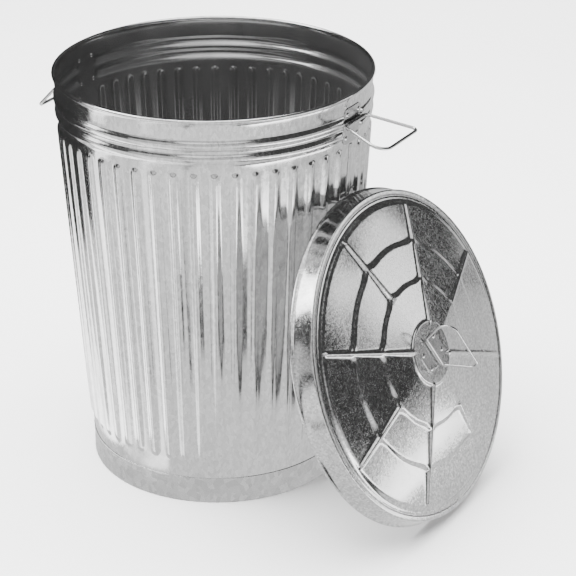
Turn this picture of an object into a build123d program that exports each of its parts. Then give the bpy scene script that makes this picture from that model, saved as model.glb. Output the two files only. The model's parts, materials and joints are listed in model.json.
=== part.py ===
from build123d import *
import os
from math import asin, atan, cos, degrees, hypot, pi, radians, sin

os.makedirs("parts", exist_ok=True)

# A fluted galvanised steel waste can with two drop handles, and its loose lid leaning on it.
# Millimetres and degrees. +Z is up, the origin is the centre of the can's base at floor
# level, and +X points through the right-hand handle, under which the lid leans.

# ------------------------------------------------------------------ driving sizes

# Can body: two half shells of thin sheet, wider at the mouth
can_h = 680.0
wall_foot_r = 212.8
wall_top_r = 255.0
sheet_t = 0.8
curl_r = 3.1

# Two stiffening beads, each set down from the can's top
bead_drops = (64.0, 42.0)
bead_half_h = 8.5
bead_depth = 4.0

# Flutes pressed into the wall, with round ends, from above the hoop to below the beads
flutes_per_panel = 24
flute_above_hoop = 31.0
flute_top_drop = 86.0
flute_w = 15.5
flute_depth = 4.0

# Folded seam where the two half shells meet, one under each handle
seam_half_w = 4.0
seam_fold_t = 1.6
seam_end_gap = 2.0

# Base
hoop_h = 46.0
hoop_t = 1.0
hoop_roll_r = 2.5
foot_flat = 0.25
floor_pan_z = 20.0
pan_corner_r = 4.0

# Handle brackets and side bails, set down from the can's top
bracket_t = 1.2
bracket_w = 50.0
bracket_h = 60.0
bracket_top_drop = 22.0
bracket_corner_r = 9.0
hinge_drop = 46.0
clip_wall_t = 1.0
clip_standoff = 1.0
bail_wire_r = 2.5
bail_reach = 81.0
bail_past_clip = 8.0
bail_grip_half = 58.0
bail_hinge_bend_r = 6.0
bail_tight_bend_r = 7.0
bail_wide_bend_r = 20.0
bail_droop_right = 13.0
bail_droop_left = 50.0
bracket_rivet_edges = (10.5, 10.0)
bracket_rivet_side_edge = 7.5

# Rivets
rivet_head_r = 4.0
rivet_head_h = 1.9
rivet_tail_r = 3.6
rivet_tail_h = 1.6
rivet_shank_r = 2.0

# Lid: a stepped dome with radial ribs, a flat flange and a flared skirt
lid_flare = 8.2
lid_skirt_h = 37.7
lid_dome_h = 36.0
lid_disc_r = 50.0
lid_disc_step = 3.0
# Each step of the dome: how far in from the flange's edge, its width and its fall
lid_step_sizes = ((152.8, 6.0, 4.0), (89.8, 6.0, 4.0), (23.8, 8.0, 5.0))
rib_count = 8
rib_first_angle = 22.5
rib_end_inset = 2.0
rib_ridge_above_disc = 2.5
rib_ridge_outer_h = 9.5
rib_top_half_w = 1.2
rib_flank_spread = 0.7
rib_depth = 10.0
rib_sheet_drop = 1.1
rib_end_wall = 2.0

# Lid handle
lid_plate_w = 60.0
lid_plate_l = 49.0
lid_plate_t = 1.0
lid_plate_corner_r = 14.0
lid_plate_turn = 112.5
lid_rivet_edge_across = 7.7
lid_rivet_edge_along = 10.0
lid_wire_r = 2.0
lid_bail_reach = 52.0
lid_bail_past_clip = 4.5
lid_bail_grip_half = 56.0
lid_bail_hinge_bend_r = 4.5
lid_bail_tight_bend_r = 9.0
lid_bail_wide_bend_r = 20.0
lid_bail_raise = 74.0

# How the lid stands: on the floor on its rim, leaning on the can
lid_lean = 20.7
lid_turn = -2.3

# Named clearances
seat_gap = 0.05
running_gap = 0.05
edge_gap = 0.05
lid_fit_gap = 6.1
lean_gap = 0.3
wire_end_gap = 1.0

# ------------------------------------------------------------------ shared geometry

wall_slope = atan((wall_top_r - wall_foot_r) / can_h)
rim_z = can_h - curl_r
wire_in_curl_r = curl_r - sheet_t - seat_gap
bead_heights = [can_h - drop for drop in bead_drops]
flute_low_z = hoop_h + flute_above_hoop
flute_high_z = can_h - flute_top_drop
bracket_high_z = can_h - bracket_top_drop
bracket_low_z = bracket_high_z - bracket_h
hinge_z = can_h - hinge_drop
flute_pitch = 180.0 / (flutes_per_panel + 1)
bead_free = flute_pitch
sides = (("right", 0.0, bail_droop_right), ("left", 180.0, bail_droop_left))


def wall_r(z):
    """Radius of the outside of the can's wall at a height."""
    return wall_foot_r + (wall_top_r - wall_foot_r) * z / can_h


def radial(azimuth):
    return Vector(cos(radians(azimuth)), sin(radians(azimuth)), 0)


def section(azimuth):
    """Upright half plane through the can's axis: x is the radius, y is the height."""
    out = radial(azimuth)
    return Plane(origin=(0, 0, 0), x_dir=out, z_dir=(out.Y, -out.X, 0))


def wall_plane(azimuth, z, standoff):
    """Plane that lies on the sloping wall, or a standoff outside it, facing outwards."""
    out = radial(azimuth) * cos(wall_slope) - Vector(0, 0, 1) * sin(wall_slope)
    across = Vector(-sin(radians(azimuth)), cos(radians(azimuth)), 0)
    foot = radial(azimuth) * wall_r(z) + Vector(0, 0, z)
    return Plane(origin=foot + out * standoff, x_dir=across, z_dir=out)


def wall_strip(z0, z1, inner, outer):
    """Band that follows the wall between two heights, between two offsets from its outside."""
    return [
        (wall_r(z0) + inner, z0),
        (wall_r(z0) + outer, z0),
        (wall_r(z1) + outer, z1),
        (wall_r(z1) + inner, z1),
    ]


def save(builder, name):
    builder.part.label = name
    export_step(builder.part, f"parts/{name}.step")
    solids = builder.part.solids()
    print(name, len(solids), round(builder.part.volume, 1), builder.part.is_valid)


# ------------------------------------------------------------------ flute tools

flute_r = (flute_w**2 / 4 + flute_depth**2) / (2 * flute_depth)
wall_out = Vector(cos(wall_slope), 0, -sin(wall_slope))
wall_up = Vector(sin(wall_slope), 0, cos(wall_slope))


def flute_tool(radius):
    """Rod with ball ends that lies along the wall at azimuth 0."""
    low_z = flute_low_z + flute_w / 2
    high_z = flute_high_z - flute_w / 2
    axis_offset = flute_r - flute_depth
    low = Vector(wall_r(low_z), 0, low_z) + wall_out * axis_offset
    high = Vector(wall_r(high_z), 0, high_z) + wall_out * axis_offset
    length = (high - low).length
    bow = radius * cos(pi / 4)
    with BuildPart() as rod:
        with BuildSketch(Plane(origin=low, x_dir=wall_out, z_dir=wall_out.cross(wall_up))):
            with BuildLine():
                Line((0, -radius), (0, length + radius))
                ThreePointArc((0, length + radius), (bow, length + bow), (radius, length))
                Line((radius, length), (radius, 0))
                ThreePointArc((radius, 0), (bow, -bow), (0, -radius))
            make_face()
        revolve(axis=Axis(low, wall_up))
    return rod.part


with BuildPart() as flute_bar:
    add(flute_tool(flute_r + sheet_t))
    with BuildSketch(section(-flute_pitch / 2)):
        low_z, high_z = flute_low_z - flute_w, flute_high_z + flute_w
        Polygon(*wall_strip(low_z, high_z, -flute_w, -sheet_t / 2), align=None)
    revolve(axis=Axis.Z, revolution_arc=flute_pitch, mode=Mode.INTERSECT)

flute_groove = flute_tool(flute_r)

# ------------------------------------------------------------------ body panels

wall_foot_z = 2 * hoop_roll_r + seat_gap
bead_end_arc = degrees(sheet_t / wall_top_r)
edge_arc = degrees(edge_gap / wall_foot_r)
seam_arc = degrees(seam_half_w / wall_top_r)


def bead_arc(z, outset, height_margin):
    """Start, middle and end of a bead's arc, which starts and ends within the wall's sheet."""
    reach = bead_half_h + height_margin
    foot = (wall_r(z - reach) + outset - sheet_t / 2, z - reach)
    head = (wall_r(z + reach) + outset - sheet_t / 2, z + reach)
    return foot, (wall_r(z) + bead_depth + outset, z), head


def rivet_planes():
    """Places of the side handles' rivets, on the outside of the bracket plates."""
    turn = degrees(asin((bracket_w / 2 - bracket_rivet_side_edge) / wall_top_r))
    rows = (bracket_low_z + bracket_rivet_edges[0], bracket_high_z - bracket_rivet_edges[1])
    return [
        wall_plane(azimuth + way * turn, z, seat_gap + bracket_t)
        for _, azimuth, _ in sides
        for way in (-1, 1)
        for z in rows
    ]


# Half of the wall, from one seam to the other. Each bead is a solid ring first, which is
# then hollowed up to its closed ends.
with BuildPart() as rear:
    with BuildSketch(section(edge_arc)):
        Polygon(*wall_strip(wall_foot_z, rim_z - curl_r + sheet_t / 2, -sheet_t, 0), align=None)
        with Locations((wall_r(rim_z) - sheet_t / 2, rim_z)):
            Circle(curl_r)
            Circle(curl_r - sheet_t, mode=Mode.SUBTRACT)
    revolve(axis=Axis.Z, revolution_arc=180 - 2 * edge_arc)
    with PolarLocations(0, flutes_per_panel, flute_pitch, flutes_per_panel * flute_pitch):
        add(flute_bar.part)
    bead_rings = ((0, 0, 0, Mode.ADD), (-sheet_t, sheet_t / 4, bead_end_arc, Mode.SUBTRACT))
    for outset, margin, end_arc, mode in bead_rings:
        with BuildSketch(section(bead_free + end_arc)):
            for z in bead_heights:
                foot, middle, head = bead_arc(z, outset, margin)
                with BuildLine():
                    ThreePointArc(foot, middle, head)
                    Line(head, foot)
                make_face()
        revolve(axis=Axis.Z, revolution_arc=180 - 2 * (bead_free + end_arc), mode=mode)
    with PolarLocations(0, flutes_per_panel, flute_pitch, flutes_per_panel * flute_pitch):
        add(flute_groove, mode=Mode.SUBTRACT)
    for hole in rivet_planes():
        with BuildSketch(hole):
            Circle(rivet_shank_r + seat_gap)
        extrude(amount=2 * rivet_head_r, both=True, mode=Mode.SUBTRACT)
save(rear, "body_panel_rear")

# The front panel is the same half shell turned round, and it carries the folded seams:
# each fold covers the rear panel's edge.
seam_low_z = hoop_h + seam_end_gap
seam_high_z = bracket_low_z - seam_end_gap
with BuildPart() as front:
    add(rear.part, rotation=(0, 0, 180))
    for seam, own_side in ((180, 1), (360, -1)):
        with BuildSketch(section(seam - seam_arc)):
            Polygon(*wall_strip(seam_low_z, seam_high_z, seat_gap, seam_fold_t), align=None)
        revolve(axis=Axis.Z, revolution_arc=2 * seam_arc)
        with BuildSketch(section(seam + own_side * seam_arc / 4)):
            joint = wall_strip(seam_low_z + sheet_t, seam_high_z - sheet_t, -sheet_t / 2, seam_fold_t / 2)
            Polygon(*joint, align=None)
        revolve(axis=Axis.Z, revolution_arc=own_side * seam_arc / 2)
save(front, "body_panel_front")

with BuildPart() as rim_wire:
    with BuildSketch(section(0)):
        with Locations((wall_r(rim_z) - sheet_t / 2, rim_z)):
            Circle(wire_in_curl_r)
    revolve(axis=Axis.Z)
save(rim_wire, "rim_wire")

# ------------------------------------------------------------------ base

with BuildPart() as base_pan:
    with BuildSketch(section(0)):
        with BuildLine():
            low = wall_foot_z
            rim = wall_r(floor_pan_z) - sheet_t - seat_gap
            foot = wall_r(low) - sheet_t - seat_gap
            top = floor_pan_z + sheet_t
            shoulder_z = top - pan_corner_r
            shoulder = foot + (rim - foot) * (shoulder_z - low) / (floor_pan_z - low)
            turn = pan_corner_r * (1 - sin(pi / 4))
            inner_turn = (pan_corner_r - sheet_t) * (1 - sin(pi / 4))
            flat_r = shoulder - pan_corner_r
            inside = shoulder - sheet_t
            Polyline((0, floor_pan_z), (0, top), (flat_r, top))
            ThreePointArc((flat_r, top), (shoulder - turn, top - turn), (shoulder, shoulder_z))
            Polyline((shoulder, shoulder_z), (foot, low), (foot - sheet_t, low), (inside, shoulder_z))
            inner_middle = (inside - inner_turn, floor_pan_z - inner_turn)
            ThreePointArc((inside, shoulder_z), inner_middle, (flat_r, floor_pan_z))
            Line((flat_r, floor_pan_z), (0, floor_pan_z))
        make_face()
    revolve(axis=Axis.Z)
save(base_pan, "base_pan")

with BuildPart() as base_hoop:
    with BuildSketch(section(0)):
        band_in = wall_r(hoop_h) + seat_gap
        with Locations((band_in + hoop_t - hoop_roll_r, hoop_roll_r - foot_flat)):
            Circle(hoop_roll_r)
        with Locations((band_in, hoop_roll_r)):
            Rectangle(hoop_t, hoop_h - hoop_roll_r, align=(Align.MIN, Align.MIN))
        with Locations((band_in, -hoop_roll_r)):
            Rectangle(4 * hoop_roll_r, hoop_roll_r, align=(Align.CENTER, Align.MIN), mode=Mode.SUBTRACT)
    revolve(axis=Axis.Z)
save(base_hoop, "base_hoop")

# ------------------------------------------------------------------ side handles

clip_bore_r = bail_wire_r + running_gap
clip_r = clip_bore_r + clip_wall_t
plate_face_r = wall_r(hinge_z) + seat_gap + bracket_t
hinge_r = plate_face_r + clip_standoff + clip_r
bracket_arc = degrees(asin(bracket_w / 2 / wall_r(bracket_low_z)))
bail_hinge_half = bracket_w / 2 + bail_past_clip


def cap_middle(edge_r, height):
    """Point halfway along the arc of a round cap, from its edge to its crown."""
    ball_r = (edge_r**2 + height**2) / (2 * height)
    half_turn = asin(edge_r / ball_r) / 2
    return ball_r * sin(half_turn), height - ball_r * (1 - cos(half_turn))


def rivet(plane, grip):
    """Round-headed rivet: the plane lies under its head and faces out of the head."""
    upright = Plane(origin=plane.origin, x_dir=plane.x_dir, z_dir=plane.x_dir.cross(plane.z_dir))
    tail_x, tail_y = cap_middle(rivet_tail_r, rivet_tail_h)
    with BuildSketch(upright) as outline:
        with BuildLine():
            Line((0, -grip - rivet_tail_h), (0, rivet_head_h))
            ThreePointArc((0, rivet_head_h), cap_middle(rivet_head_r, rivet_head_h), (rivet_head_r, 0))
            Polyline((rivet_head_r, 0), (rivet_shank_r, 0), (rivet_shank_r, -grip), (rivet_tail_r, -grip))
            ThreePointArc((rivet_tail_r, -grip), (tail_x, -grip - tail_y), (0, -grip - rivet_tail_h))
        make_face()
    revolve(outline.sketch, axis=Axis(plane.origin, plane.z_dir))


def bail_loop(frame, wire_r, reach, hinge_half, grip_half, bends):
    """Bent wire loop: x runs out from the hinge, y along the hinge's axis."""
    hinge_bend_r, first_bend_r, second_bend_r = bends
    with BuildLine(frame) as path:
        FilletPolyline(
            (0, wire_end_gap / 2),
            (0, hinge_half),
            (reach, grip_half),
            (reach, -grip_half),
            (0, -hinge_half),
            (0, -wire_end_gap / 2),
            radius=(hinge_bend_r, first_bend_r, second_bend_r, hinge_bend_r),
        )
    wire = path.wire()
    with BuildSketch(Plane(origin=wire @ 0, z_dir=wire % 0)) as round_bar:
        Circle(wire_r)
    sweep(round_bar.sketch, path=wire)


for index, (side, azimuth, droop) in enumerate(sides):
    out = radial(azimuth)
    along = Vector(-out.Y, out.X, 0)
    hinge = out * hinge_r + Vector(0, 0, hinge_z)
    side_rivets = rivet_planes()[index * 4 : index * 4 + 4]

    with BuildPart() as bracket:
        with BuildSketch(section(azimuth - bracket_arc)):
            Polygon(*wall_strip(bracket_low_z, bracket_high_z, seat_gap, seat_gap + bracket_t), align=None)
        revolve(axis=Axis.Z, revolution_arc=2 * bracket_arc)
        bracket_mid_z = (bracket_low_z + bracket_high_z) / 2
        with BuildSketch(Plane(origin=(0, 0, bracket_mid_z), x_dir=along, z_dir=out)):
            RectangleRounded(bracket_w, bracket_high_z - bracket_low_z, bracket_corner_r)
        extrude(amount=2 * wall_top_r, mode=Mode.INTERSECT)
        with BuildSketch(Plane(origin=hinge, x_dir=out, z_dir=(out.Y, -out.X, 0))):
            Circle(clip_r)
            Rectangle(2 * clip_r, 2 * clip_wall_t, align=(Align.MAX, Align.CENTER))
        extrude(amount=bracket_w / 2, both=True)
        with BuildSketch(section(azimuth - 2 * bracket_arc)):
            Polygon(*wall_strip(bracket_low_z, bracket_high_z, -wall_top_r / 4, seat_gap), align=None)
        revolve(axis=Axis.Z, revolution_arc=4 * bracket_arc, mode=Mode.SUBTRACT)
        with BuildSketch(Plane(origin=hinge, x_dir=out, z_dir=along)):
            Circle(clip_bore_r)
        extrude(amount=bracket_w, both=True, mode=Mode.SUBTRACT)
        for hole in side_rivets:
            with BuildSketch(hole):
                Circle(rivet_shank_r + seat_gap)
            extrude(amount=2 * rivet_head_r, both=True, mode=Mode.SUBTRACT)
    save(bracket, f"handle_bracket_{side}")

    with BuildPart() as rivets:
        for plane in side_rivets:
            rivet(plane, bracket_t + 2 * seat_gap + sheet_t)
    save(rivets, f"handle_rivets_{side}")

    lean = out * cos(radians(droop)) - Vector(0, 0, 1) * sin(radians(droop))
    with BuildPart() as bail:
        bail_frame = Plane(origin=hinge, x_dir=lean, z_dir=lean.cross(along))
        bends = (bail_hinge_bend_r, bail_tight_bend_r, bail_wide_bend_r)
        bail_loop(bail_frame, bail_wire_r, bail_reach, bail_hinge_half, bail_grip_half, bends)
    save(bail, f"handle_bail_{side}")

# ------------------------------------------------------------------ lid

lean_cos = cos(radians(lid_lean))
lean_sin = sin(radians(lid_lean))
lid_flange_r = wall_top_r - sheet_t / 2 + curl_r + lid_fit_gap
lid_curl_r = lid_flange_r + lid_flare - curl_r
lid_curl_s = curl_r - lid_skirt_h
lid_origin_z = lid_curl_r * lean_cos - lid_curl_s * lean_sin + curl_r
lid_top_z = lid_origin_z + lid_curl_s * lean_sin + lid_curl_r * lean_cos
lid_top_r = wall_r(lid_top_z) + seam_fold_t + (curl_r + lean_gap) / cos(wall_slope)
lid_origin_r = lid_top_r - lid_curl_s * lean_cos + lid_curl_r * lean_sin

lid_out = radial(lid_turn)
lid_normal = lid_out * lean_cos + Vector(0, 0, 1) * lean_sin
lid_frame = Plane(
    origin=lid_out * lid_origin_r + Vector(0, 0, lid_origin_z),
    x_dir=Vector(-lid_out.Y, lid_out.X, 0),
    z_dir=lid_normal,
)
lid_axis = Axis(lid_frame.origin, lid_normal)
lid_steps = [
    (lid_flange_r - inset, lid_flange_r - inset + width, fall) for inset, width, fall in lid_step_sizes
]
rib_outer_r = lid_steps[-1][0] - rib_end_inset


def lid_ray(angle):
    """Direction in the lid's plane, turned from the level direction towards its upper edge."""
    return lid_frame.x_dir * cos(radians(angle)) + lid_frame.y_dir * sin(radians(angle))


def lid_section(angle):
    """Half plane through the lid's axis: x is the radius, y is the height above the flange."""
    ray = lid_ray(angle)
    return Plane(origin=lid_frame.origin, x_dir=ray, z_dir=ray.cross(lid_normal))


def lid_outline(drop):
    """Line of the dome from its centre to the flange, dropped by part of the sheet."""
    slopes = lid_steps[0][0] - lid_disc_r - lid_disc_step
    for inner, outer in zip(lid_steps, lid_steps[1:]):
        slopes += outer[0] - inner[1]
    rise = lid_dome_h - lid_disc_step - sum(step[2] for step in lid_steps)
    slope = rise / slopes
    points = [(0, lid_dome_h), (lid_disc_r, lid_dome_h)]
    points.append((lid_disc_r + lid_disc_step, lid_dome_h - lid_disc_step))
    for inner_r, outer_r, step_h in lid_steps:
        last_r, last_h = points[-1]
        top_h = last_h - slope * (inner_r - last_r)
        points += [(inner_r, top_h), (outer_r, top_h - step_h)]
    return [(r, h - drop) for r, h in points]


def rib_tool(angle, start_r, end_r, drop):
    """Ridge with sloping flanks along one ray of the lid, lowered by a drop."""
    ray = lid_ray(angle)
    fall = (lid_dome_h + rib_ridge_above_disc - rib_ridge_outer_h) / (rib_outer_r - lid_disc_r)
    start_h = lid_dome_h + rib_ridge_above_disc - fall * (start_r - lid_disc_r) - drop
    start = lid_frame.origin + ray * start_r + lid_normal * start_h
    along = (ray - lid_normal * fall).normalized()
    base_half_w = rib_top_half_w + rib_flank_spread * rib_depth
    with BuildSketch(Plane(origin=start, x_dir=lid_normal.cross(ray), z_dir=along)) as ridge:
        Polygon(
            (-rib_top_half_w, 0),
            (rib_top_half_w, 0),
            (base_half_w, -rib_depth),
            (-base_half_w, -rib_depth),
            align=None,
        )
    extrude(ridge.sketch, amount=(end_r - start_r) * hypot(1, fall))


rib_rays = [rib_first_angle + index * 360 / rib_count for index in range(rib_count)]
rib_starts = [lid_steps[0][1] if index % 2 == 0 else lid_disc_r for index in range(rib_count)]

with BuildPart() as rib_ridges:
    for angle, start_r in zip(rib_rays, rib_starts):
        rib_tool(angle, start_r - rib_end_wall, rib_outer_r, 0)
    with BuildSketch(lid_section(0)):
        edge = lid_outline(sheet_t / 2)
        Polygon(*edge, (edge[-1][0], 2 * lid_dome_h), (0, 2 * lid_dome_h), align=None)
    revolve(axis=lid_axis, mode=Mode.INTERSECT)

with BuildPart() as rib_hollows:
    for angle, start_r in zip(rib_rays, rib_starts):
        rib_tool(angle, start_r + rib_end_wall + lid_disc_step, rib_outer_r - rib_end_wall, rib_sheet_drop)

lid_plate_frame = Plane(
    origin=lid_frame.origin + lid_normal * (lid_dome_h + seat_gap),
    x_dir=lid_ray(lid_plate_turn - 90),
    z_dir=lid_normal,
)
lid_rivet_across = lid_plate_w / 2 - lid_rivet_edge_across
lid_rivet_along = lid_plate_l / 2 - lid_rivet_edge_along
lid_rivet_planes = [
    Plane(
        origin=lid_plate_frame.from_local_coords((x * lid_rivet_across, y * lid_rivet_along, lid_plate_t)),
        x_dir=lid_plate_frame.x_dir,
        z_dir=lid_normal,
    )
    for x in (-1, 1)
    for y in (-1, 1)
]

with BuildPart() as lid_shell:
    with BuildSketch(lid_section(0)):
        outer = lid_outline(0)
        inner = lid_outline(sheet_t)
        skirt_end = lid_curl_s + curl_r - sheet_t / 2
        Polygon(
            *outer,
            (lid_flange_r, 0),
            (lid_curl_r + sheet_t / 2, skirt_end),
            (lid_curl_r - sheet_t / 2, skirt_end),
            (lid_flange_r - sheet_t, -sheet_t),
            *reversed(inner),
            align=None,
        )
        with Locations((lid_curl_r, lid_curl_s)):
            Circle(curl_r)
            Circle(curl_r - sheet_t, mode=Mode.SUBTRACT)
    revolve(axis=lid_axis)
    add(rib_ridges.part)
    add(rib_hollows.part, mode=Mode.SUBTRACT)
    for hole in lid_rivet_planes:
        with BuildSketch(hole):
            Circle(rivet_shank_r + seat_gap)
        extrude(amount=2 * rivet_head_r, both=True, mode=Mode.SUBTRACT)
save(lid_shell, "lid_shell")

with BuildPart() as lid_rim_wire:
    with BuildSketch(lid_section(0)):
        with Locations((lid_curl_r, lid_curl_s)):
            Circle(wire_in_curl_r)
    revolve(axis=lid_axis)
save(lid_rim_wire, "lid_rim_wire")

# ------------------------------------------------------------------ lid handle

lid_clip_bore_r = lid_wire_r + running_gap
lid_clip_r = lid_clip_bore_r + clip_wall_t
lid_hinge_h = lid_plate_t + clip_standoff + lid_clip_r
lid_hinge = lid_plate_frame.origin + lid_normal * lid_hinge_h
lid_bail_hinge_half = lid_plate_l / 2 + lid_bail_past_clip

with BuildPart() as lid_plate:
    with BuildSketch(lid_plate_frame):
        RectangleRounded(lid_plate_w, lid_plate_l, lid_plate_corner_r)
    extrude(amount=lid_plate_t)
    with BuildSketch(Plane(origin=lid_hinge, x_dir=lid_plate_frame.x_dir, z_dir=-lid_plate_frame.y_dir)):
        Circle(lid_clip_r)
        Rectangle(2 * clip_wall_t, lid_hinge_h - lid_plate_t / 2, align=(Align.CENTER, Align.MAX))
    extrude(amount=lid_plate_l / 2, both=True)
    with BuildSketch(Plane(origin=lid_hinge, x_dir=lid_plate_frame.x_dir, z_dir=-lid_plate_frame.y_dir)):
        Circle(lid_clip_bore_r)
    extrude(amount=lid_plate_l, both=True, mode=Mode.SUBTRACT)
    for hole in lid_rivet_planes:
        with BuildSketch(hole):
            Circle(rivet_shank_r + seat_gap)
        extrude(amount=2 * rivet_head_r, both=True, mode=Mode.SUBTRACT)
save(lid_plate, "lid_handle_plate")

with BuildPart() as lid_rivets:
    for plane in lid_rivet_planes:
        rivet(plane, lid_plate_t + 2 * seat_gap + sheet_t)
save(lid_rivets, "lid_handle_rivets")

with BuildPart() as lid_bail:
    raise_cos = cos(radians(lid_bail_raise))
    raise_sin = sin(radians(lid_bail_raise))
    bail_out = lid_plate_frame.x_dir * raise_cos + lid_normal * raise_sin
    bail_frame = Plane(origin=lid_hinge, x_dir=bail_out, z_dir=bail_out.cross(lid_plate_frame.y_dir))
    bends = (lid_bail_hinge_bend_r, lid_bail_wide_bend_r, lid_bail_tight_bend_r)
    bail_loop(bail_frame, lid_wire_r, lid_bail_reach, lid_bail_hinge_half, lid_bail_grip_half, bends)
save(lid_bail, "lid_bail")
print("side hinges", round(hinge_r, 3), hinge_z)
print("lid hinge", lid_hinge, "axis", lid_plate_frame.y_dir)
print("lid origin", lid_frame.origin, "axis", lid_normal)
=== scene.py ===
import json
from math import atan2, cos, degrees, exp, hypot, pi, radians, sin, sqrt

import bmesh
import bpy
from mathutils import Matrix, Quaternion, Vector


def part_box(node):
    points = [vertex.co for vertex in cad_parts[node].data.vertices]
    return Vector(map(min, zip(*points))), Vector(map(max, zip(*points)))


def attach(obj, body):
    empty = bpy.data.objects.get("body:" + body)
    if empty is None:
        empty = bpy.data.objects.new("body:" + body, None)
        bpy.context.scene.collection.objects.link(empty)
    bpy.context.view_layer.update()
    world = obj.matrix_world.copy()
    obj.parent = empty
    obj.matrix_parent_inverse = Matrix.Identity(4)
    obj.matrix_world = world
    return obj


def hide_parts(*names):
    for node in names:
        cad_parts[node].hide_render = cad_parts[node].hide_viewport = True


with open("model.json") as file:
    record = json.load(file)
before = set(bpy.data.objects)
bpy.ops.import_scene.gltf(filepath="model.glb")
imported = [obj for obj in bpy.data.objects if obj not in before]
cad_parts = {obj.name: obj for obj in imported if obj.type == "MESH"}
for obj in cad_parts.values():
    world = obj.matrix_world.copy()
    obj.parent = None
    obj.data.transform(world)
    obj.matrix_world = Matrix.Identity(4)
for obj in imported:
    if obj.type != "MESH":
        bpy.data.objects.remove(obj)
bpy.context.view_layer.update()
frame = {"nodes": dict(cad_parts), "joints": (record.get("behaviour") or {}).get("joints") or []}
joints = {joint["name"]: joint for joint in frame["joints"]}

# ------------------------------------------------------------------ sizes, in metres

mm = 0.001
can_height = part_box("body_panel_rear")[1].z
wall_foot_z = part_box("body_panel_rear")[0].z
wall_foot_r = 212.8 * mm
wall_top_r = 255.0 * mm
sheet = 0.8 * mm

# Smoothing draws a curl and a pressing in a little, so both are drawn larger by as much.
curl_r = 3.1 * mm
curl_drawn_r = curl_r / 0.968
curl_step = 30
press_gain = 1.05
rim_z = can_height - curl_r

bead_heights = (616.0 * mm, 638.0 * mm)
bead_half = 8.5 * mm
bead_depth = 4.0 * mm
bead_profile = ((-0.8, 0.38), (-0.4, 0.86), (0, 1.0), (0.4, 0.86), (0.8, 0.38))
bead_run_out = ((5, 0.10), (6, 0.30), (7, 0.35), (8, 0.25))

flutes_per_half = 24
columns_per_flute = 8
flute_low = 77.0 * mm
flute_high = 594.0 * mm
flute_width = 15.5 * mm
flute_depth = 4.0 * mm
flute_end = 13.0 * mm
wall_columns = (flutes_per_half + 1) * columns_per_flute
column_turn = 180 / wall_columns
same_ring = 0.2 * mm

seam_low = 48.0 * mm
seam_high = 595.0 * mm
seam_half = 4.0 * mm
seam_proud = 1.6 * mm

hoop_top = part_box("base_hoop")[1].z
hoop_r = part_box("base_hoop")[1].x
hoop_sheet = 0.8 * mm
hoop_roll_r = 2.5 * mm

lid_curl_centre_r = 268.9 * mm
lid_curl_drop = 34.6 * mm
lid_dome_height = 36.0 * mm
lid_disc_r = 50.0 * mm
lid_disc_step = 3.0 * mm

# Each step of the dome as (start, width, fall), and how far it is pushed out beside a rib.
lid_steps = ((111 * mm, 6 * mm, 4 * mm), (174 * mm, 6 * mm, 4 * mm), (240 * mm, 8 * mm, 5 * mm))
knuckles = (9 * mm, 9 * mm, 0)
knuckle_half = 9 * mm
dome_edge_r = lid_steps[-1][0] + lid_steps[-1][1]
sloping_width = lid_steps[-1][0] - lid_disc_r - lid_disc_step - sum(step[1] for step in lid_steps[:-1])
dome_slope = (lid_dome_height - lid_disc_step - sum(step[2] for step in lid_steps)) / sloping_width
sector_flatness = 0.75
sector_mean = 0.974

rib_count = 8
rib_pitch = 2 * pi / rib_count
rib_first = radians(22.5)
rib_end_r = 238.0 * mm
rib_start_height = lid_dome_height + 2.5 * mm
rib_end_height = 9.5 * mm
rib_end_slope = 1.2
rib_top_half = 1.2 * mm
rib_flank = 0.7
rib_fillet = 1.2 * mm
rib_columns = (0.0, 1.2 * mm, 2.6 * mm, 4.4 * mm, 6.8 * mm, 10.5 * mm)
open_columns = 5
columns_per_side = len(rib_columns) - 1 + open_columns
lid_columns = 2 * rib_count * columns_per_side
far_away = 1.0

centre = Vector((0, 0, 0))
lid_middle = (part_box("lid_shell")[0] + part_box("lid_shell")[1]) / 2
camera_spot = (1.634, -2.525, 1.7105)
camera_sight = Vector((-0.4610, 0.7773, -0.4282))
camera_lean = radians(-0.13)
camera_focal = 124.1


def wall_r(z):
    """Radius of the outside of the can's wall at a height."""
    return wall_foot_r + (wall_top_r - wall_foot_r) * z / can_height


# ------------------------------------------------------------------ shader helper


class Val:
    """A number socket that can be used in a sum: each operation adds its Math node."""

    def __init__(self, shader, socket):
        self.shader = shader
        self.socket = socket

    def math(self, operation, *others):
        values = {0: self}
        values.update({place + 1: other for place, other in enumerate(others)})
        node = self.shader.node("ShaderNodeMath", {"operation": operation}, values)
        return Val(self.shader, node.outputs[0])

    def __add__(self, other):
        return self.math("ADD", other)

    def __mul__(self, other):
        return self.math("MULTIPLY", other)

    def __sub__(self, other):
        return self.math("SUBTRACT", other)

    def __rsub__(self, other):
        return (self * -1.0) + other

    __radd__ = __add__
    __rmul__ = __mul__

    def between(self, low, high):
        """0 below low, 1 above high and a soft rise in between."""
        settings = {"interpolation_type": "SMOOTHSTEP"}
        node = self.shader.node("ShaderNodeMapRange", settings, {"Value": self, 1: low, 2: high})
        return Val(self.shader, node.outputs[0])


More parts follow.
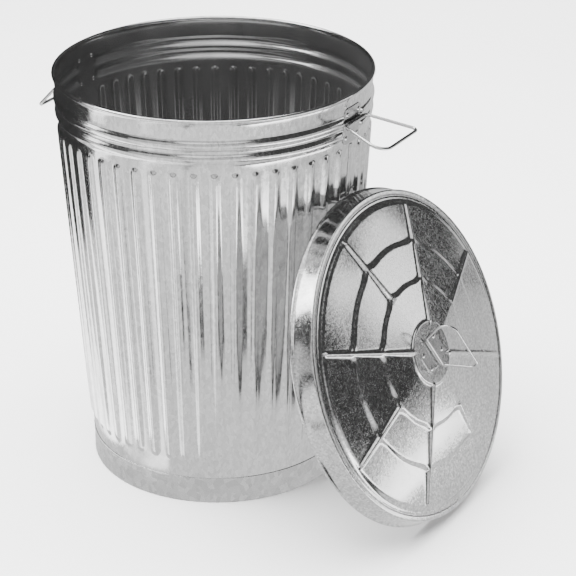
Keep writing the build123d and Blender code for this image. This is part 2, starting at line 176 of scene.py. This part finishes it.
class Shader:
    """A material under construction."""

    def __init__(self, name):
        self.material = bpy.data.materials.new(name)
        self.material.use_nodes = True
        self.tree = self.material.node_tree
        self.surface = self.tree.nodes["Principled BSDF"]
        self.places = self.node("ShaderNodeTexCoord").outputs["Object"]

    def node(self, kind, settings=None, values=None):
        made = self.tree.nodes.new(kind)
        for name, setting in (settings or {}).items():
            if name == "stops":
                ramp = made.color_ramp
                while len(ramp.elements) < len(setting):
                    ramp.elements.new(0.5)
                for element, (place, grey) in zip(ramp.elements, setting):
                    element.position = place
                    element.color = (grey, grey, grey, 1)
            else:
                setattr(made, name, setting)
        for name, value in (values or {}).items():
            self.put(made.inputs[name], value)
        return made

    def put(self, socket, value):
        """Links or sets one socket."""
        if isinstance(value, Val):
            value = value.socket
        if isinstance(value, bpy.types.NodeSocket):
            self.tree.links.new(value, socket)
        else:
            socket.default_value = value

    def noise(self, scale, detail=2.0, stretch=(1, 1, 1)):
        """Soft cloudy pattern, about 0 to 1, with this many clouds in a metre."""
        mapped = self.node("ShaderNodeMapping", {}, {"Vector": self.places, "Scale": stretch})
        values = {"Vector": mapped.outputs[0], "Scale": scale, "Detail": detail}
        return Val(self, self.node("ShaderNodeTexNoise", {}, values).outputs[0])

    def cells(self, scale, stretch=(1, 1, 1)):
        """A grey for each crystal of a spangle, with this many crystals in a metre."""
        mapped = self.node("ShaderNodeMapping", {}, {"Vector": self.places, "Scale": stretch})
        spangle = self.node("ShaderNodeTexVoronoi", {}, {"Vector": mapped.outputs[0], "Scale": scale})
        grey = self.node("ShaderNodeSeparateColor", {}, {0: spangle.outputs["Color"]})
        return Val(self, grey.outputs[0])

    def grey(self, amount, stops):
        """A grey that runs through stops, each (amount, grey)."""
        return self.node("ShaderNodeValToRGB", {"stops": stops}, {0: amount}).outputs[0]

    def finish(self, colour, roughness, bump=None, height=0.0, metallic=1.0):
        """Feeds the surface, with its bumps this high, and gives back the material."""
        self.put(self.surface.inputs["Base Color"], colour)
        self.put(self.surface.inputs["Roughness"], roughness)
        self.put(self.surface.inputs["Metallic"], metallic)
        if bump is not None:
            values = {"Height": bump, "Distance": height, "Strength": 1.0}
            bumped = self.node("ShaderNodeBump", {}, values)
            self.put(self.surface.inputs["Normal"], bumped.outputs[0])
        return self.material


# ------------------------------------------------------------------ finishes


def wall_zinc():
    """Hot-dip zinc on the drawn wall: soft spangle, drawn a little up the wall."""
    s = Shader("wall_zinc")
    spangle = s.cells(240, (1, 1, 0.5))
    fine = s.noise(700, 3.0)
    cloud = s.noise(9, 3.0, (1, 1, 0.4))
    tone = spangle * 0.25 + fine * 0.45 + cloud * 0.3
    colour = s.grey(tone, ((0.25, 0.44), (0.55, 0.58), (0.80, 0.74)))
    roughness = spangle * 0.06 + fine * 0.08 + cloud * 0.05 + 0.06
    bump = s.noise(22, 2.0, (1, 1, 0.25)) * 1.0 + fine * 0.03
    return s.finish(colour, roughness, bump, 0.0008)


def inside_zinc_painted_shade():
    """The can's inside: the same zinc, duller, with its colour made darker as painted shade inside the
    can.
    """
    s = Shader("inside_zinc_painted_shade")
    fine = s.noise(700, 3.0)
    cloud = s.noise(14, 3.0, (1, 1, 0.4))
    # These dark greys are painted shade for the inside of the can.
    colour = s.grey(fine * 0.5 + cloud * 0.5, ((0.30, 0.26), (0.70, 0.42)))
    roughness = fine * 0.08 + cloud * 0.06 + 0.14
    bump = s.noise(26, 2.0, (1, 1, 0.3)) + fine * 0.03
    return s.finish(colour, roughness, bump, 0.0006, 0.94)


def pan_zinc():
    """The bottom pan: dull and scuffed, so that it scatters the light that falls in."""
    s = Shader("pan_zinc")
    spangle = s.cells(160)
    scuff = s.noise(30, 4.0)
    colour = s.grey(spangle * 0.5 + scuff * 0.5, ((0.3, 0.40), (0.7, 0.62)))
    return s.finish(colour, scuff * 0.15 + 0.38, scuff, 0.0004, 0.55)


def lid_zinc():
    """Open, brighter spangle of the pressed lid."""
    s = Shader("lid_zinc")
    spangle = s.cells(330)
    fine = s.noise(800, 3.0)
    cloud = s.noise(11, 3.0)
    tone = spangle * 0.35 + fine * 0.45 + cloud * 0.2
    colour = s.grey(tone, ((0.25, 0.38), (0.55, 0.55), (0.80, 0.74)))
    roughness = spangle * 0.08 + fine * 0.06 + cloud * 0.04 + 0.07
    bump = s.noise(9, 1.0) * 0.9 + fine * 0.05 + spangle * 0.02
    return s.finish(colour, roughness, bump, 0.0007)


def hoop_zinc():
    """Duller strip, scuffed along its length."""
    s = Shader("hoop_zinc")
    spangle = s.cells(120, (1, 1, 0.8))
    fine = s.noise(450, 3.0)
    scuff = s.noise(60, 4.0, (1, 1, 4.0)).between(0.55, 0.75)
    colour = s.grey(spangle * 0.4 + fine * 0.4 + 0.1, ((0.2, 0.38), (0.6, 0.50), (0.9, 0.64)))
    roughness = spangle * 0.08 + scuff * 0.12 + 0.20
    return s.finish(colour, roughness, fine * 0.1 + scuff * 0.2, 0.0006)


def pressing_zinc():
    """Smooth plated pressings: the clips with their plates."""
    s = Shader("pressing_zinc")
    fine = s.noise(600, 3.0)
    cloud = s.noise(40, 2.0)
    colour = s.grey(fine * 0.5 + cloud * 0.5, ((0.3, 0.34), (0.7, 0.50)))
    return s.finish(colour, fine * 0.10 + cloud * 0.10 + 0.14, cloud + fine * 0.1, 0.0003)


def wire_zinc():
    """Bright drawn wire."""
    s = Shader("wire_zinc")
    fine = s.noise(900, 2.0)
    cloud = s.noise(50, 2.0)
    colour = s.grey(fine * 0.4 + cloud * 0.6, ((0.3, 0.44), (0.7, 0.62)))
    return s.finish(colour, fine * 0.08 + cloud * 0.08 + 0.12, fine, 0.00004)


def rivet_steel():
    """Bright round rivet heads."""
    s = Shader("rivet_steel")
    fine = s.noise(1200, 2.0)
    colour = s.grey(fine, ((0.3, 0.46), (0.7, 0.66)))
    return s.finish(colour, fine * 0.12 + 0.14, fine, 0.00006)


def floor_paint():
    """Nearly white, matt floor."""
    s = Shader("floor_paint")
    cloud = s.noise(1.5, 2.0)
    colour = s.grey(cloud, ((0.3, 0.93), (0.7, 0.96)))
    return s.finish(colour, cloud * 0.1 + 0.6, metallic=0.0)


# ------------------------------------------------------------------ modelling helpers


def begin(name, primitive, **settings):
    """Adds a primitive, with nothing else selected, and names it."""
    bpy.ops.object.select_all(action="DESELECT")
    primitive(**settings)
    made = bpy.context.object
    made.name = made.data.name = name
    return made


def drawn_line(name, points):
    """A new object in edit mode: a line from point to point, each (radius, height)."""
    made = begin(name, bpy.ops.mesh.primitive_plane_add, size=mm, location=(0, 0, 0))
    bpy.ops.object.mode_set(mode="EDIT")
    bpy.ops.mesh.select_all(action="SELECT")
    bpy.ops.mesh.merge(type="CENTER")
    bpy.ops.transform.translate(value=(points[0][0], 0, points[0][1]))
    for (r0, z0), (r1, z1) in zip(points, points[1:]):
        step = (r1 - r0, 0, z1 - z0)
        bpy.ops.mesh.extrude_region_move(TRANSFORM_OT_translate={"value": step})
    return made


def curl(centre_r, centre_z, radius, turns):
    """Points of a rolled edge at turns given in degrees, as (radius, height)."""
    return [
        (centre_r + radius * cos(radians(turn)), centre_z + radius * sin(radians(turn)))
        for turn in turns
    ]


def pick(obj, test):
    """Picks the points of the mesh in edit mode that pass a test of their place."""
    shape = bmesh.from_edit_mesh(obj.data)
    for vertex in shape.verts:
        vertex.select_set(bool(test(vertex.co)))
    shape.select_flush_mode()
    bmesh.update_edit_mesh(obj.data)


def spin_line(obj, steps, turn):
    """Spins the drawn line round Z and makes its faces point away from the axis."""
    bpy.ops.mesh.select_all(action="SELECT")
    bpy.ops.mesh.spin(steps=steps, angle=turn, center=(0, 0, 0), axis=(0, 0, 1))
    bpy.ops.mesh.select_all(action="SELECT")
    bpy.ops.mesh.remove_doubles(threshold=0.01 * mm)
    bpy.ops.mesh.normals_make_consistent(inside=False)
    facing = 0
    for face in bmesh.from_edit_mesh(obj.data).faces:
        middle = face.calc_center_median()
        facing += face.normal.dot(Vector((middle.x, middle.y, 0)))
    if facing < 0:
        bpy.ops.mesh.flip_normals()


def keep(obj, kind, **settings):
    """Adds a modifier and applies it."""
    modifier = obj.modifiers.new(kind.title(), kind)
    for name, value in settings.items():
        setattr(modifier, name, value)
    bpy.context.view_layer.objects.active = obj
    bpy.ops.object.modifier_apply(modifier=modifier.name)


def soften(obj):
    keep(obj, "SUBSURF", levels=1, render_levels=1)


def thicken(obj, thickness, inner_finish=0):
    """Gives a sheet its thickness, inwards. The new inner face may take a second finish."""
    settings = {"thickness": thickness, "offset": -1.0, "use_even_offset": True}
    keep(obj, "SOLIDIFY", material_offset=inner_finish, **settings)


def choose(obj):
    """Makes this the only selected object and the active one."""
    bpy.ops.object.select_all(action="DESELECT")
    obj.select_set(True)
    bpy.context.view_layer.objects.active = obj


def object_mode(obj):
    bpy.ops.object.mode_set(mode="OBJECT")
    choose(obj)


def shade(obj, angle):
    """Shades smoothly over every edge that turns by less than an angle in degrees."""
    choose(obj)
    bpy.ops.object.shade_smooth_by_angle(angle=radians(angle))


def place(obj, matrix):
    """Puts the piece in place and keeps that place in its mesh."""
    choose(obj)
    obj.matrix_world = matrix
    bpy.ops.object.transform_apply(location=True, rotation=True, scale=True)


def copy_turned(obj, name, turn):
    """A copy with its own mesh, turned round Z."""
    choose(obj)
    bpy.ops.object.duplicate()
    made = bpy.context.object
    made.name = made.data.name = name
    place(made, Matrix.Rotation(turn, 4, "Z"))
    return made


def join(main, *others):
    choose(main)
    for other in others:
        other.select_set(True)
    bpy.ops.object.join()


def dress(obj, *materials):
    obj.data.materials.clear()
    for material in materials:
        obj.data.materials.append(material)


# ------------------------------------------------------------------ can wall


def wall_line():
    """Outside of the wall from its foot up and round the rolled rim."""
    heights = [wall_foot_z] + [height * mm for height in (30, 46, 62, 72)]
    heights += [flute_low + rise * mm for rise in (0, 2, 5, 9, 14, 60, 160, 260, 360, 440)]
    heights += [flute_high - drop * mm for drop in (14, 9, 5, 2, 0)] + [599 * mm]
    shares = [-1.0] + [share for share, _ in bead_profile] + [1.0]
    for middle in bead_heights:
        heights += [middle + bead_half * share for share in shares]
    heights += [height * mm for height in (653, 663, 670)]
    line = [(wall_r(z), z) for z in heights]
    return line + curl(wall_r(rim_z) - sheet / 2, rim_z, curl_drawn_r, range(-70, 260, curl_step))


def wall_column(spot):
    """Which column of the wall's mesh a place lies on, counted from one seam to the other."""
    return round(degrees(atan2(spot.y, spot.x)) / column_turn)


def press_out(half, test, z, rise):
    """Pushes the points that pass a test, all at one height, out of the wall."""
    pick(half, test)
    grow = 1 + rise / wall_r(z)
    bpy.ops.transform.resize(value=(grow, grow, 1), center_override=(0, 0, 0))


def flute_rise(across, past_end):
    """How far a flute stands out at a distance across it, and past its end's centre."""
    away = hypot(across, max(past_end, 0) * flute_width / 2 / flute_end)
    round_r = (flute_width**2 / 4 + flute_depth**2) / (2 * flute_depth)
    if away >= flute_width / 2:
        return 0.0
    return sqrt(round_r**2 - away**2) - (round_r - flute_depth)


def press_flutes(half, heights):
    """Presses the flutes out, ring by ring, from the middle column of each to its sides."""
    side = columns_per_flute // 2
    for z in heights:
        if not flute_low < z < flute_high:
            continue
        past_end = max(flute_low + flute_end - z, z - (flute_high - flute_end))
        for away in range(side):
            rise = flute_rise(wall_r(z) * radians(column_turn) * away, past_end)
            if rise <= 0:
                continue

            def on_flute(spot):
                index = wall_column(spot)
                near = (index + side) % columns_per_flute - side
                inside = side < index < wall_columns - side
                return inside and abs(near) == away and abs(spot.z - z) < same_ring

            press_out(half, on_flute, z, rise * press_gain)


def press_beads(half):
    """Presses the beads out. They run out beside the seams, over a few columns."""
    for middle in bead_heights:
        for share, height in bead_profile:
            z = middle + bead_half * share
            for first, part in bead_run_out:

                def on_bead(spot):
                    inside = first <= wall_column(spot) <= wall_columns - first
                    return inside and abs(spot.z - z) < same_ring

                press_out(half, on_bead, z, press_gain * bead_depth * height * part)


def wall_half(outer, inner):
    """Rear half of the wall, with its flutes and beads pressed out."""
    line = wall_line()
    half = drawn_line("body_panel_rear_pressed", line)
    spin_line(half, wall_columns, pi)
    turned_to_front = sum(vertex.co.y for vertex in bmesh.from_edit_mesh(half.data).verts) < 0
    if turned_to_front:
        bpy.ops.mesh.select_all(action="SELECT")
        bpy.ops.transform.rotate(value=pi, orient_axis="Z", center_override=(0, 0, 0))
    press_flutes(half, [z for _, z in line])
    press_beads(half)
    object_mode(half)
    dress(half, outer, inner)
    soften(half)
    thicken(half, sheet, 1)
    shade(half, 50)
    return half


def seam_fold(zinc, azimuth):
    """Flat folded seam that stands on the wall."""
    fold = begin(f"fold_{azimuth}", bpy.ops.mesh.primitive_cube_add, size=1, location=(0, 0, 0))
    bpy.ops.object.mode_set(mode="EDIT")
    bpy.ops.mesh.select_all(action="SELECT")
    bpy.ops.transform.resize(value=(seam_proud, 2 * seam_half, seam_high - seam_low))
    middle = (seam_low + seam_high) / 2
    bpy.ops.transform.translate(value=(wall_r(middle) + seam_proud / 2, 0, middle))
    lean = (wall_r(seam_high) - wall_r(seam_low)) / 2
    for way in (-1, 1):
        pick(fold, lambda spot: (spot.z - middle) * way > 0)
        bpy.ops.transform.translate(value=(lean * way, 0, 0))
    bpy.ops.mesh.select_all(action="SELECT")
    bpy.ops.mesh.bevel(offset=0.6 * mm, segments=3, affect="EDGES")
    object_mode(fold)
    dress(fold, zinc)
    shade(fold, 40)
    place(fold, Matrix.Rotation(radians(azimuth), 4, "Z"))
    return fold


def can_wall(outer, inner):
    """Both halves of the wall, with the two seams on the front one."""
    rear = wall_half(outer, inner)
    front = copy_turned(rear, "body_panel_front_pressed", pi)
    join(front, *[seam_fold(outer, azimuth) for azimuth in (0, 180)])
    for piece, node in ((rear, "body_panel_rear"), (front, "body_panel_front")):
        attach(piece, "can")
        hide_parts(node)


def base_hoop(zinc):
    """Band round the foot, with a small lip on top and a rolled lower edge."""
    inner = wall_r(hoop_top) + 0.1 * mm
    waist = hoop_r - 0.5 * mm
    line = [(inner, hoop_top - 0.1 * mm), (inner + 0.5 * mm, hoop_top - 0.02 * mm)]
    line += [(hoop_r, hoop_top - 0.6 * mm), (hoop_r, hoop_top - 2.5 * mm)]
    line += [(waist, hoop_top - 4 * mm), (waist, 20 * mm), (waist, 7 * mm)]
    rolled = (20, 0, -25, -50, -75, -100, -130, -165, -200)
    line += curl(hoop_r - hoop_roll_r, hoop_roll_r, hoop_roll_r, rolled)
    hoop = drawn_line("base_hoop_rolled", line)
    spin_line(hoop, 180, 2 * pi)
    object_mode(hoop)
    soften(hoop)
    thicken(hoop, hoop_sheet)
    shade(hoop, 50)
    dress(hoop, zinc)
    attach(hoop, "can")
    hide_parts("base_hoop")


# ------------------------------------------------------------------ lid


def lid_matrix():
    """From the lid's own frame, with its flange in XY and its dome up, to where it stands."""
    normal = Vector(joints["lid_lift"]["axis"]).normalized()
    low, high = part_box("lid_rim_wire")
    origin = (low + high) / 2 + normal * lid_curl_drop
    level = Vector((0, 0, 1)).cross(normal).normalized()
    upper = normal.cross(level)
    turned = Matrix((level, upper, normal)).transposed()
    return Matrix.Translation(origin) @ turned.to_4x4()


def rise_over(value, start, width):
    """0 before the start, 1 after the width and a soft rise in between."""
    share = min(max((value - start) / width, 0), 1)
    return share * share * (3 - 2 * share)


def blend_up(a, b, soft):
    """The higher of two heights, with a small fillet between them."""
    mix = min(max(0.5 + 0.5 * (a - b) / soft, 0), 1)
    return b + (a - b) * mix + soft * mix * (1 - mix)


def dome_height(r, from_rib, off_middle):
    """Height of the stepped dome, whose slopes are nearly flat from rib to rib.
    Beside a rib each step is pushed out in a round knuckle."""
    if r <= lid_disc_r:
        return lid_dome_height
    if r >= dome_edge_r:
        return 0.0
    height = lid_dome_height - lid_disc_step * rise_over(r, lid_disc_r, lid_disc_step)
    height -= dome_slope * max(r - lid_disc_r - lid_disc_step, 0)
    flat_part = sector_flatness * (cos(off_middle) - sector_mean)
    inside = 1 - rise_over(r, 0.8 * lid_steps[-1][0], 0.2 * lid_steps[-1][0])
    height -= dome_slope * r * flat_part * inside
    for (start, width, fall), knuckle in zip(lid_steps, knuckles):
        pushed = start + knuckle * exp(-((from_rib / knuckle_half) ** 2))
        height += dome_slope * min(max(r - start, 0), width)
        height -= fall * rise_over(r, pushed, width)
    return max(height, 0.0)


def rib_height(along, across, start):
    """Height of a rib's roof over its middle line, before it meets the dome."""
    fall = (rib_start_height - rib_end_height) / (rib_end_r - lid_disc_r)
    height = rib_start_height - fall * (along - lid_disc_r)
    height -= max(abs(across) - rib_top_half, 0) / rib_flank
    return height - (max(start - along, 0) + max(along - rib_end_r, 0)) * rib_end_slope


def pressed_height(r, rib, turn, from_rib):
    """Height of the dome with its ribs. Every second rib starts outside the first step."""
    from_line = turn - rib * rib_pitch
    off_middle = rib_pitch / 2 - abs(from_line)
    start = lid_steps[0][0] + lid_steps[0][1] if rib % 2 == 0 else lid_disc_r
    if not start - 12 * mm < r < rib_end_r + 8 * mm:
        return dome_height(r, far_away, off_middle)
    roof = rib_height(r * cos(from_line), from_rib, start)
    return blend_up(roof, dome_height(r, from_rib, off_middle), rib_fillet)


def lid_column(r, index):
    """Nearest rib to a column of the lid's mesh, the column's turn and its distance from
    that rib's line. The columns gather beside the ribs and are even on the flange."""
    rib, place_in = divmod(index + columns_per_side, 2 * columns_per_side)
    place_in -= columns_per_side
    half = rib_pitch / 2
    side = 1 if place_in >= 0 else -1
    steps = abs(place_in)
    last = len(rib_columns) - 1
    even = half * steps / columns_per_side
    edge = min(rib_columns[last] / r, half * 0.5)
    if steps <= last:
        turn = min(rib_columns[steps] / r, edge * rib_columns[steps] / rib_columns[last])
    else:
        turn = edge + (half - edge) * (steps - last) / open_columns
    outer = rise_over(r, lid_steps[-1][0] + 2 * mm, 12 * mm)
    turn = turn * (1 - outer) + even * outer
    return rib, side * turn + rib * rib_pitch, r * sin(turn)


def lid_rows():
    """Radius of each ring of the dome's mesh."""
    disc_rings = (-38, -20, -6, -1.5, 0, 1.2, 2.2, 3.4, 7, 20, 36, 48, 56)
    step_rings = (-1.5, 0, 2, 4, 6, 8, 10, 12, 14.5, 18, 26, 37, 46, 54)
    edge_rings = (-4.5, -2, 0, 2, 4, 6, 8, 10)
    first, second, third = (start for start, _, _ in lid_steps)
    groups = ((lid_disc_r, disc_rings), (first, step_rings), (second, step_rings), (third, edge_rings))
    return [start + shift * mm for start, rings in groups for shift in rings]


def lid_edge():
    """Flange, corner bead, flared skirt and rolled edge, outside the dome, as (radius, height)."""
    flange = ((252, 0), (253.2, -0.7), (254.6, -0.7), (256, 0), (260, 0))
    corner = ((262.2, 0.1), (263.4, -0.2), (263.9, -1.4), (264.4, -6))
    skirt = ((265.6, -14), (266.9, -22), (268.3, -28.5))
    line = [(r * mm, height * mm) for r, height in (*flange, *corner, *skirt)]
    return line + curl(lid_curl_centre_r, -lid_curl_drop, curl_drawn_r, range(70, -260, -curl_step))


def lid_shell(zinc):
    """Dome with steps and ribs, laid out on a ring-shaped grid that follows the ribs."""
    rows = [(r, None) for r in lid_rows()] + lid_edge()
    last_row = len(rows) - 1
    counts = {"x_subdivisions": lid_columns, "y_subdivisions": last_row}
    shell = begin("lid_shell_pressed", bpy.ops.mesh.primitive_grid_add, size=1, **counts)

    # Along X the grid goes once round the lid, and along Y from the middle to the rolled edge.
    for vertex in shell.data.vertices:
        index = round((vertex.co.x + 0.5) * lid_columns)
        r, height = rows[round((vertex.co.y + 0.5) * last_row)]
        rib, turn, from_rib = lid_column(r, index % lid_columns)
        if height is None:
            height = pressed_height(r, rib, turn, from_rib)
        vertex.co = (r * cos(turn + rib_first), r * sin(turn + rib_first), height)

    bpy.ops.object.mode_set(mode="EDIT")
    bpy.ops.mesh.select_all(action="SELECT")
    bpy.ops.mesh.remove_doubles(threshold=0.01 * mm)

    # The hole in the middle closes to a point.
    hole_r = rows[0][0] + 0.1 * mm
    pick(shell, lambda spot: hypot(spot.x, spot.y) < hole_r)
    bpy.ops.mesh.extrude_region_move(TRANSFORM_OT_translate={"value": (0, 0, 0)})
    bpy.ops.transform.resize(value=(0.4, 0.4, 1), center_override=(0, 0, lid_dome_height))
    bpy.ops.mesh.merge(type="CENTER")

    bpy.ops.mesh.select_all(action="SELECT")
    bpy.ops.mesh.normals_make_consistent(inside=False)
    faces_down = sum(face.normal.z for face in bmesh.from_edit_mesh(shell.data).faces) < 0
    if faces_down:
        bpy.ops.mesh.flip_normals()
    object_mode(shell)
    soften(shell)
    thicken(shell, sheet)
    shade(shell, 60)
    place(shell, lid_matrix())
    dress(shell, zinc)
    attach(shell, "lid")
    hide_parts("lid_shell")


# ------------------------------------------------------------------ carried-over nodes


def finish_nodes(material, *names):
    """Gives nodes that keep their own shape their finish."""
    for name in names:
        node = frame["nodes"][name]
        dress(node, material)
        for face in node.data.polygons:
            face.use_smooth = True


# ------------------------------------------------------------------ studio


def seen_from(start, azimuth, distance, elevation=0):
    """A place at a distance from another, in a direction given in degrees."""
    a, e = radians(azimuth), radians(elevation)
    return start + distance * Vector((cos(a) * cos(e), sin(a) * cos(e), sin(e)))


def upright(azimuth):
    """Turn of a card that stands up across a direction given in degrees."""
    return pi / 2, 0, radians(azimuth + 90)


def hide(thing, *ways):
    """Hides a thing from some kinds of ray."""
    for way in ways:
        setattr(thing, f"visible_{way}", False)


def lamp(name, light, direction):
    """Hangs a light so that it shines in a direction."""
    made = bpy.data.objects.new(name, light)
    bpy.context.scene.collection.objects.link(made)
    made.rotation_euler = direction.to_track_quat("-Z", "Y").to_euler()
    return made


def sunlight(name, power, spread, direction):
    light = bpy.data.lights.new(name, "SUN")
    light.energy = power
    light.angle = radians(spread)
    lamp(name, light, Vector(direction))


def softbox(name, spot, aim, size, power):
    light = bpy.data.lights.new(name, "AREA")
    light.shape = "RECTANGLE"
    light.size, light.size_y = size
    light.energy = power
    made = lamp(name, light, Vector(aim) - Vector(spot))
    made.location = spot
    return made


def card(name, material, spot, turn, width, height):
    """Card that shows only where it is mirrored."""
    made = begin(name, bpy.ops.mesh.primitive_plane_add, size=1, location=spot)
    made.scale = (width, height, 1)
    made.rotation_euler = turn
    hide(made, "camera", "diffuse", "shadow")
    dress(made, material)


def cloth():
    """Black cloth of the flags."""
    s = Shader("flag_cloth")
    return s.finish(s.grey(s.noise(300, 2.0), ((0.0, 0.003), (1.0, 0.008))), 0.9, metallic=0.0)


def glowing(name, strength):
    """Finish of a card that glows, a little unevenly."""
    s = Shader(name)
    tone = s.grey(s.noise(1.6, 1.0), ((0.36, 0.55), (0.62, 1.0)))
    s.finish((0, 0, 0, 1), 1.0, metallic=0.0)
    s.put(s.surface.inputs["Emission Color"], tone)
    s.put(s.surface.inputs["Emission Strength"], strength)
    return s.material


def studio_floor(paint):
    """Wide plain floor."""
    floor = begin("studio_floor", bpy.ops.mesh.primitive_plane_add, size=40, location=(0, 0, 0))
    dress(floor, paint)


def studio_lights():
    """One wide sun and four soft boxes. The metal doesn't mirror the one overhead."""
    sunlight("light_high", 5.0, 50, (0.55, 0.28, -1.0))
    ceiling = softbox("light_ceiling", (0, 0, 5.0), centre, (7.0, 7.0), 1500)
    hide(ceiling, "glossy")
    can_middle = (0, 0, 0.4)
    softbox("light_left", (-2.6, -1.6, 1.9), can_middle, (0.8, 2.0), 25)
    softbox("light_over", (-0.3, 0.6, 3.0), can_middle, (1.2, 1.0), 40)
    softbox("light_back", seen_from(lid_middle, 46, 2.5, 9), lid_middle, (0.75, 0.42), 3.2)


def studio_cards():
    """Black flags and glowing silks, which give the metal its dark and bright bands."""
    black = cloth()
    for name, start_at, azimuth, distance, low, high, width in (
        ("flag_left", centre, 168, 0.90, 0.0, 1.6, 1.70),
        ("flag_low", lid_middle, 31, 1.40, 0.01, 0.42, 0.44),
        ("flag_high", lid_middle, 61, 1.60, 0.17, 0.60, 0.34),
        ("flag_disc", lid_middle, 50, 1.60, 0.10, 0.27, 0.20),
    ):
        spot = seen_from(start_at, azimuth, distance)
        spot.z = (low + high) / 2
        card(name, black, spot, upright(azimuth), width, high - low)

    above_floor = 0.4 * mm
    card("grey_ground", glowing("ground_paper", 1.75), (0, 0, above_floor), (0, 0, 0), 14, 14)

    over, front = -59, -74
    spot = seen_from(centre, over, 1.5) + Vector((0, 0, 2.6))
    card("reflector_over", glowing("silk_over", 2.6), spot, (0, 0, radians(over)), 3.6, 2.4)
    spot = seen_from(centre, front, 3.6) + Vector((0, 0, 1.70))
    card("reflector_front", glowing("silk_front", 1.3), spot, upright(front), 7.0, 1.8)
    for name, azimuth in (("silk_inside_left", -152), ("silk_inside_right", 34)):
        spot = seen_from(centre, azimuth, 0.20) + Vector((0, 0, 0.25))
        card(name, glowing(name, 0.8), spot, upright(azimuth), 0.09, 0.40)

    # Strips that lie on the floor and point at the can, from near to far.
    for name, material, azimuth, near, far, width in (
        ("silk_strip_left", glowing("silk_left", 6.0), -146, 0.27, 1.60, 0.34),
        ("silk_strip_middle", glowing("silk_middle", 3.4), -104, 0.27, 1.60, 0.16),
        ("flag_strip_front", black, -76, 0.55, 1.30, 0.05),
        ("flag_strip_right", black, -27, 0.62, 0.98, 0.42),
        ("silk_strip_right", glowing("silk_beside", 6.0), -18, 1.02, 1.22, 0.60),
    ):
        spot = seen_from(centre, azimuth, (near + far) / 2) + Vector((0, 0, 2 * mm))
        card(name, material, spot, (0, 0, radians(azimuth)), far - near, width)
    beside_lid = (0.90, -0.05, 0.012)
    card("reflector_right", glowing("silk_right", 9.0), beside_lid, (0, 0, 0), 0.26, 1.15)


def studio_backdrop():
    """Pale round wall that only the camera sees."""
    size = {"vertices": 96, "radius": 19.5, "depth": 16, "end_fill_type": "NOTHING"}
    backdrop = begin("studio_backdrop", bpy.ops.mesh.primitive_cylinder_add, **size)
    backdrop.location = (0, 0, 8)
    hide(backdrop, "glossy", "diffuse", "shadow")
    dress(backdrop, glowing("backdrop_paper", 1.3))


def studio_air():
    """Faint light from all round."""
    world = bpy.data.worlds.new("studio_air")
    bpy.context.scene.world = world
    world.use_nodes = True
    air = world.node_tree.nodes["Background"]
    air.inputs["Color"].default_value = (1, 1, 1, 1)
    air.inputs["Strength"].default_value = 0.10


def studio_camera():
    lens = bpy.data.cameras.new("camera")
    lens.lens = camera_focal
    lens.sensor_width = 36
    lens.clip_end = 50
    camera = bpy.data.objects.new("camera", lens)
    bpy.context.scene.collection.objects.link(camera)
    camera.location = camera_spot
    camera.rotation_mode = "QUATERNION"
    level = camera_sight.to_track_quat("-Z", "Y")
    camera.rotation_quaternion = level @ Quaternion((0, 0, 1), camera_lean)
    bpy.context.scene.camera = camera


# ------------------------------------------------------------------ making it all

wall_finish = wall_zinc()
pressing_finish = pressing_zinc()
wire_finish = wire_zinc()
rivet_finish = rivet_steel()
hoop_finish = hoop_zinc()
lid_finish = lid_zinc()

can_wall(wall_finish, inside_zinc_painted_shade())
base_hoop(hoop_finish)
lid_shell(lid_finish)
finish_nodes(pan_zinc(), "base_pan")
bails = ("lid_bail", "handle_bail_right", "handle_bail_left")
finish_nodes(wire_finish, "rim_wire", "lid_rim_wire", *bails)
finish_nodes(pressing_finish, "handle_bracket_right", "handle_bracket_left", "lid_handle_plate")
finish_nodes(rivet_finish, "handle_rivets_right", "handle_rivets_left", "lid_handle_rivets")

studio_floor(floor_paint())
studio_lights()
studio_cards()
studio_backdrop()
studio_air()
studio_camera()
